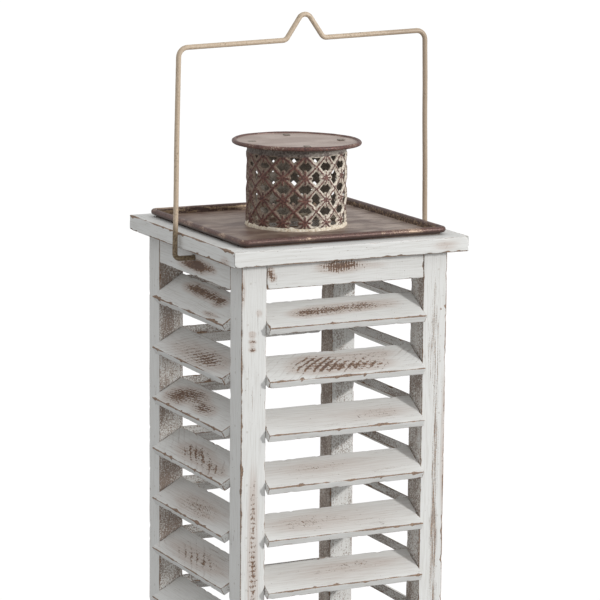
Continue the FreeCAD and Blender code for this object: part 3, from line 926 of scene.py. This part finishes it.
def painted_wood():
    """Thin white paint over rough-sawn brown wood, rubbed through at edges, saw marks and patches. Faces
    toward the inside and underneath are unpainted brown wood, darkened further with painted shade.
    """
    s = Shader("painted_wood")
    grain = s.attribute("grain", "Vector")
    gap, wear = s.attribute("edge_gap"), s.attribute("edge_wear")
    patch, streak = s.attribute("patch"), s.attribute("streak")
    saw, depth, bare_and_shade = s.attribute("saw", "Vector"), s.attribute("saw_depth"), s.attribute("bare_and_shade")
    fibre = s.noise(grain, (0.035, 0.9, 0.9), 4.0, 0.6)
    long_fibre = s.noise(grain, (0.012, 0.35, 0.35), 3.0, 0.55)
    thread = s.noise(grain, (0.028, 1.25, 1.25), 3.0, 0.6)
    speck = s.noise(grain, 0.75, 4.0, 0.7)
    grit = s.noise(grain, 1.9, 3.0, 0.7)
    drift = s.noise(grain, (0.02, 0.06, 0.06), 2.0)
    broken = s.noise(grain, (0.03, 0.12, 0.12), 3.0)
    scratch = s.noise(saw, (1.5, 0.045, 1.0), 3.0, 0.6)
    turns = s.split(saw)["X"]
    phase = s.total((turns, 2 * math.pi), (drift, 9.0), (scratch, 5.0))
    line = s.math("POWER", s.math("MULTIPLY_ADD", s.math("SINE", phase), 0.5, 0.5), 3.0)
    sawn = s.times(s.total(-1.31, (line, 1.0), (scratch, 2.0)), depth)

    width = s.times(wear, s.total(-1.1, (broken, 4.4)))
    edge = s.band(s.total(-0.72, (width, 1.0), (gap, -1.0), (speck, 1.0), (grit, 0.5)), -0.1, 0.35)
    blot = s.noise(grain, (0.32, 0.6, 0.6), 3.0, 0.6)
    deep = s.math("MAXIMUM", s.total(-0.3, (patch, 1.0)), 0.0)
    through = s.total(-1.38, (deep, 0.32), (blot, 1.1), (speck, 0.7), (fibre, 0.4), (sawn, 0.17),
                      (s.times(deep, line), 0.26))
    rubbed = s.band(through, -0.02, 0.08)
    threads = s.band(s.total(-1.01, (streak, 0.24), (thread, 1.0), (grit, 0.45)), 0.0, 0.06)
    # Where the faces toward the inside and underneath are: unpainted wood, and painted shade.
    unpainted_shade_mask = s.total(-1.95, (bare_and_shade, 1.0), (fibre, 0.4), (speck, 2.0), (drift, 0.8))
    unpainted_shade_mask = s.band(unpainted_shade_mask, 0.0, 0.4)
    crack_line = s.math("ABSOLUTE", s.total(-0.5, (long_fibre, 1.0)))
    crack = s.times(s.band(crack_line, 0.010, 0.002), s.band(broken, 0.63, 0.68))

    paint = s.mix(s.band(fibre, 0.42, 0.72), (0.80, 0.805, 0.79), (0.70, 0.695, 0.67))
    paint = s.mix(s.times(s.band(sawn, 0.10, 0.75), 0.38), paint, (0.38, 0.325, 0.29))
    thin = s.times(s.band(patch, 0.05, 0.6), s.total(-0.35, (thread, 0.9), (fibre, 0.9)))
    paint = s.mix(thin, paint, (0.54, 0.445, 0.39))
    brown = s.mix(s.band(speck, 0.40, 0.58), (0.36, 0.22, 0.13), (0.14, 0.08, 0.048))
    worn = s.mix(s.band(through, 0.09, 0.30), brown, (0.125, 0.066, 0.042))
    # Mottled dark brown for those faces: unpainted wood with painted shade.
    unpainted_shade_brown = s.mix(s.band(s.total((speck, 0.6), (drift, 0.4)), 0.44, 0.56), (0.54, 0.44, 0.365),
                   (0.22, 0.145, 0.105))

    colour = s.mix(s.times(unpainted_shade_mask, 0.85), paint, unpainted_shade_brown)
    colour = s.mix(s.times(rubbed, 0.9), colour, worn)
    colour = s.mix(s.times(threads, 0.8), colour, brown)
    colour = s.mix(s.times(edge, 0.9), colour, brown)
    colour = s.mix(s.times(crack, 0.65), colour, (0.18, 0.10, 0.065))
    gone = s.math("MAXIMUM", s.math("MAXIMUM", edge, rubbed), s.math("MAXIMUM", crack, threads))
    height = s.total((fibre, 0.5), (sawn, -0.35), (gone, -0.55), (grit, 0.3))
    return s.finish(colour=colour, roughness=s.total(0.62, (gone, 0.2), (fibre, 0.15)), specular=0.35,
                    normal=s.bump(height, 0.5, 0.0004))


def roof_metal():
    """Brown lacquered sheet, blotched and softly brushed, with painted sheen streaks; painted shade darkens
    the groove inside its rubbed, rolled rim, with a painted golden glint on the lip.
    """
    s = Shader("roof_metal")
    place, rim, roll = s.attribute("place", "Vector"), s.attribute("rim"), s.attribute("roll")
    across = s.split(place)["X"]
    blotch = s.noise(place, (0.02, 0.035, 0.05), 4.0, 0.6)
    brushed = s.noise(place, (0.05, 0.45, 0.3), 4.0, 0.65)
    grit = s.noise(place, 0.8, 3.0, 0.65)
    plate = s.mix(s.band(blotch, 0.38, 0.64), (0.16, 0.095, 0.072), (0.36, 0.265, 0.21))
    # Painted sheen: lighter brushed streaks on the plate, more of them toward +X.
    painted_sheen = s.total((across, 0.0010), (brushed, 1.0), (blotch, 0.5))
    plate = s.mix(s.times(s.band(painted_sheen, 0.73, 0.93), 0.8), plate, (0.56, 0.47, 0.41))
    plate = s.mix(s.times(s.band(grit, 0.58, 0.68), 0.5), plate, (0.12, 0.08, 0.07))
    crest = s.mix(s.band(grit, 0.42, 0.6), (0.165, 0.09, 0.074), (0.075, 0.04, 0.036))
    crest = s.mix(s.band(s.total((grit, 0.5), (blotch, 0.7)), 0.66, 0.72), crest, (0.50, 0.37, 0.27))
    on_crest = s.times(s.band(roll, 0.04, 0.21), s.band(roll, 0.70, 0.52))
    # Painted golden glint on the lip inside the rim.
    glint = s.band(s.total((brushed, 0.6), (grit, 0.4)), 0.47, 0.60)
    glint = s.times(glint, s.band(roll, 0.2, 0.02))
    # Painted shade: dark brown in the groove inside the rim and under its outer edge, with the painted glint
    # on the lip.
    shade = s.mix(glint, (0.075, 0.045, 0.038), (0.46, 0.34, 0.22))
    edged = s.mix(on_crest, shade, crest)
    colour = s.mix(s.band(rim, 0.1, 0.9), plate, edged)
    height = s.total((grit, 0.4), (brushed, 0.6))
    return s.finish(colour=colour, metal=0.25, roughness=s.total(0.16, (brushed, 0.3), (grit, 0.2)),
                    normal=s.bump(height, 0.45, 0.0004))


def chimney_metal():
    """Pressed lattice: red-brown crests; cream paint with painted light on the right-hand flanks, grey-brown
    with painted shade elsewhere; painted shade darkens the plain bands, the tabs and the inside.
    """
    s = Shader("chimney_metal")
    place, crest = s.attribute("place", "Vector"), s.attribute("crest")
    band, inside = s.attribute("band"), s.attribute("inside")
    split = s.split(place)
    blotch = s.noise(place, 0.07, 3.0)
    grit = s.noise(place, 0.55, 4.0, 0.65)
    fine = s.noise(place, 1.6, 2.0)
    red = s.mix(s.band(grit, 0.4, 0.62), (0.215, 0.098, 0.075), (0.075, 0.034, 0.031))
    shaded_grey_brown = s.mix(s.band(fine, 0.38, 0.62), (0.14, 0.088, 0.068), (0.37, 0.295, 0.225))
    cream = s.mix(s.band(grit, 0.4, 0.6), (0.82, 0.76, 0.65), (0.50, 0.43, 0.36))
    grey = s.mix(s.band(grit, 0.42, 0.6), (0.23, 0.21, 0.19), (0.095, 0.078, 0.066))
    # More cream toward +X and lower down: cream paint brightened as painted light; the rest stays darker
    # grey-brown as painted shade.
    side = s.total(0.10, (split["X"], 0.034), (split["Z"], -0.004), (blotch, 1.4), (grit, 0.7))
    painted = s.band(side, 0.35, 0.9)
    lit_and_shaded_flank = s.mix(painted, shaded_grey_brown, cream)
    ridge = s.band(s.total(-0.60, (crest, 0.8), (grit, 1.5), (painted, -0.12)), 0.3, 0.55)
    colour = s.mix(ridge, lit_and_shaded_flank, red)
    # The plain bands and the tabs: grey, darkened as painted shade under the cap.
    colour = s.mix(s.times(band, 0.8), colour, grey)
    # The inside of the tube, and most of each tab: darker brown as painted shade.
    inside_painted_shade = s.mix(s.band(fine, 0.38, 0.62), (0.40, 0.355, 0.305), (0.16, 0.13, 0.105))
    colour = s.mix(inside, colour, inside_painted_shade)
    return s.finish(colour=colour, metal=0.08, roughness=s.total(0.42, (grit, 0.3)),
                    normal=s.bump(s.total((grit, 0.7), (fine, 0.3)), 0.6, 0.0005))


def cap_metal():
    """The cap's flat taupe lacquer, and its dark reddish rim rubbed light in places."""
    s = Shader("cap_metal")
    place, rim = s.attribute("place", "Vector"), s.attribute("rim")
    blotch = s.noise(place, (0.02, 0.04, 0.04), 4.0, 0.6)
    grit = s.noise(place, 0.8, 3.0, 0.65)
    top = s.mix(s.band(blotch, 0.4, 0.62), (0.43, 0.335, 0.29), (0.56, 0.46, 0.405))
    top = s.mix(s.times(s.band(grit, 0.58, 0.70), 0.5), top, (0.24, 0.165, 0.135))
    roll = s.mix(s.band(grit, 0.4, 0.6), (0.20, 0.095, 0.075), (0.065, 0.034, 0.032))
    roll = s.mix(s.band(s.total((grit, 0.6), (blotch, 0.5)), 0.61, 0.68), roll, (0.50, 0.38, 0.30))
    colour = s.mix(s.band(rim, 0.2, 0.8), top, roll)
    return s.finish(colour=colour, metal=0.15, roughness=s.total(0.28, (grit, 0.3)),
                    normal=s.bump(grit, 0.3, 0.0003))


def filler():
    """Cream painted bead, yellowed and stained in patches."""
    s = Shader("filler")
    place = s.attribute("place", "Vector")
    grit = s.noise(place, 0.5, 4.0, 0.65)
    colour = s.mix(s.band(grit, 0.35, 0.6), (0.90, 0.85, 0.74), (0.72, 0.62, 0.47))
    colour = s.mix(s.band(grit, 0.62, 0.68), colour, (0.22, 0.13, 0.085))
    return s.finish(colour=colour, roughness=s.total(0.45, (grit, 0.3)), normal=s.bump(grit, 0.6, 0.0006))


def bail_paint():
    """Cream paint on wire, with rust specks, and unpainted rusty feet."""
    s = Shader("bail_paint")
    place = s.attribute("place", "Vector")
    split = s.split(place)
    grit = s.noise(place, 0.55, 4.0, 0.7)
    blotch = s.noise(place, 0.05, 2.0)
    cream = s.mix(s.band(grit, 0.4, 0.65), (0.64, 0.515, 0.385), (0.545, 0.43, 0.31))
    worn = s.band(s.total((split["X"], 0.007), (grit, 0.5), (blotch, 0.6)), 0.95, 1.4)
    cream = s.mix(s.times(worn, 0.7), cream, (0.38, 0.29, 0.21))
    rust = s.mix(s.band(grit, 0.4, 0.6), (0.155, 0.11, 0.065), (0.33, 0.255, 0.165))
    foot = s.band(s.total(PIVOT + 34.0, (split["Z"], -1.0), (split["X"], -0.06), (grit, 14.0)), 10.0, 24.0)
    speck = s.band(s.total((grit, 0.8), (blotch, 0.45)), 0.74, 0.79)
    gone = s.math("MAXIMUM", foot, speck)
    return s.finish(colour=s.mix(gone, cream, rust), roughness=s.total(0.4, (gone, 0.35)),
                    normal=s.bump(s.total((grit, 0.5), (gone, -0.5)), 0.5, 0.0003))


def pan_metal():
    """Dark zinc-grey sheet with a cloudy bloom."""
    s = Shader("pan_metal")
    place = s.attribute("place", "Vector")
    cloud = s.noise(place, 0.06, 4.0, 0.6)
    grit = s.noise(place, 0.9, 3.0)
    colour = s.mix(s.band(cloud, 0.38, 0.62), (0.16, 0.145, 0.13), (0.30, 0.28, 0.26))
    colour = s.mix(s.band(grit, 0.62, 0.7), colour, (0.20, 0.11, 0.07))
    return s.finish(colour=colour, metal=0.7, roughness=s.total(0.3, (cloud, 0.3)),
                    normal=s.bump(grit, 0.25, 0.0002))


def brad_metal():
    """Brad heads under thin paint, rusting through."""
    s = Shader("brad_metal")
    place = s.node("ShaderNodeTexCoord", {}).outputs["Object"]
    patchy = s.noise(place, 90.0, 3.0)
    grit = s.noise(place, 1500.0, 2.0)
    colour = s.mix(s.band(patchy, 0.64, 0.76), (0.68, 0.67, 0.64), (0.36, 0.26, 0.20))
    return s.finish(colour=colour, metal=0.3, roughness=s.total(0.45, (grit, 0.3)),
                    normal=s.bump(grit, 0.3, 0.0001))


def brads():
    """The brads keep their CAD shape and get a material."""
    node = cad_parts["brads"]
    if not node.material_slots:
        node.data.materials.append(None)
    node.material_slots[0].material = brad_metal()


# ==== studio
def direction(azimuth, elevation):
    """The way from the lantern to something at an azimuth to the right of the front."""
    level = Vector((math.sin(azimuth), -math.cos(azimuth), 0)) * math.cos(elevation)
    return level + Vector((0, 0, math.sin(elevation)))


def camera():
    """Looks from the left of the front, a little from above, through a long lens."""
    back = direction(CAMERA_AZIMUTH, CAMERA_ELEVATION)
    level = Vector((math.cos(CAMERA_AZIMUTH), math.sin(CAMERA_AZIMUTH), 0))
    upright = back.cross(level)
    right = level * math.cos(CAMERA_ROLL) + upright * math.sin(CAMERA_ROLL)
    up = upright * math.cos(CAMERA_ROLL) - level * math.sin(CAMERA_ROLL)
    data = bpy.data.cameras.new("camera")
    data.lens = CAMERA_LENS
    data.clip_end = 50.0
    made = added("camera", data)
    target = level * CAMERA_TARGET_RIGHT + Vector((0, 0, CAMERA_TARGET_HEIGHT))
    made.matrix_world = Matrix((right, up, back)).transposed().to_4x4()
    made.location = target + back * CAMERA_DISTANCE
    bpy.context.scene.camera = made


def key_light():
    data = bpy.data.lights.new("key", "AREA")
    data.shape = "DISK"
    data.size = KEY_SIZE
    data.energy = KEY_POWER
    data.color = (1.0, 0.99, 0.975)
    made = added("key", data)
    way = direction(KEY_AZIMUTH, KEY_ELEVATION)
    made.location = Vector((0, 0, KEY_TARGET_HEIGHT)) + way * KEY_DISTANCE
    made.rotation_euler = way.to_track_quat("Z", "Y").to_euler()


def studio_world():
    """White to the eye, and soft light from all round: brightest from above."""
    s = Shader("studio", "worlds")
    bpy.context.scene.world = s.owner
    way = s.node("ShaderNodeTexCoord", {}).outputs["Generated"]
    limits = {"From Min": -1.0, "From Max": 1.0, "To Min": SKY_BELOW, "To Max": SKY_ABOVE}
    sky = s.node("ShaderNodeMapRange", {"Value": s.split(way)["Z"], **limits}).outputs["Result"]
    soft, white = (s.node("ShaderNodeBackground", {"Color": (1, 1, 1), "Strength": strength}).outputs[0]
                   for strength in (sky, BACKDROP))
    seen = s.node("ShaderNodeLightPath", {}).outputs["Is Camera Ray"]
    s.surface("World Output", seen, soft, white)


def floor():
    """Pale floor that brightens to white away from the lantern."""
    around, radii = 96, (0.0001, 0.2, 0.4, 0.8, 2.0, 8.0)
    points = np.concatenate([round_axis(full_turn(around), radius, 0) for radius in radii])
    pairs = [(k, (k + 1) % around) for k in range(around)]
    faces = [(start + a, start + b, start + around + b, start + around + a)
             for start in range(0, around * (len(radii) - 1), around) for a, b in pairs]
    mesh = bpy.data.meshes.new("floor")
    mesh.from_pydata(points.tolist(), [], faces)
    made = added("floor", mesh)
    made.visible_diffuse = False
    made.visible_glossy = False
    s = Shader("floor")
    place = s.node("ShaderNodeTexCoord", {}).outputs["Object"]
    away = s.node("ShaderNodeVectorMath", {0: place}, operation="LENGTH").outputs["Value"]
    grain = s.noise(place, 60.0)
    s.finish(colour=s.mix(grain, (0.80, 0.80, 0.79), (0.84, 0.84, 0.83)), roughness=0.8)
    glow = s.node("ShaderNodeEmission", {"Color": (1, 1, 1), "Strength": 1.03}).outputs[0]
    near = s.tree.nodes["Principled BSDF"].outputs[0]
    s.surface("Material Output", s.band(away, 0.22, 0.52), near, glow)
    mesh.materials.append(s.owner)


# ==== the scene
bpy.context.scene.view_settings.view_transform = "Standard"
PAINTED_WOOD = painted_wood()
camera()
key_light()
studio_world()
floor()
posts()
rails()
frames()
slats()
lid_tray()
chimney_wall()
chimney_seal()
chimney_cap()
bail()
candle_pan()
brads()
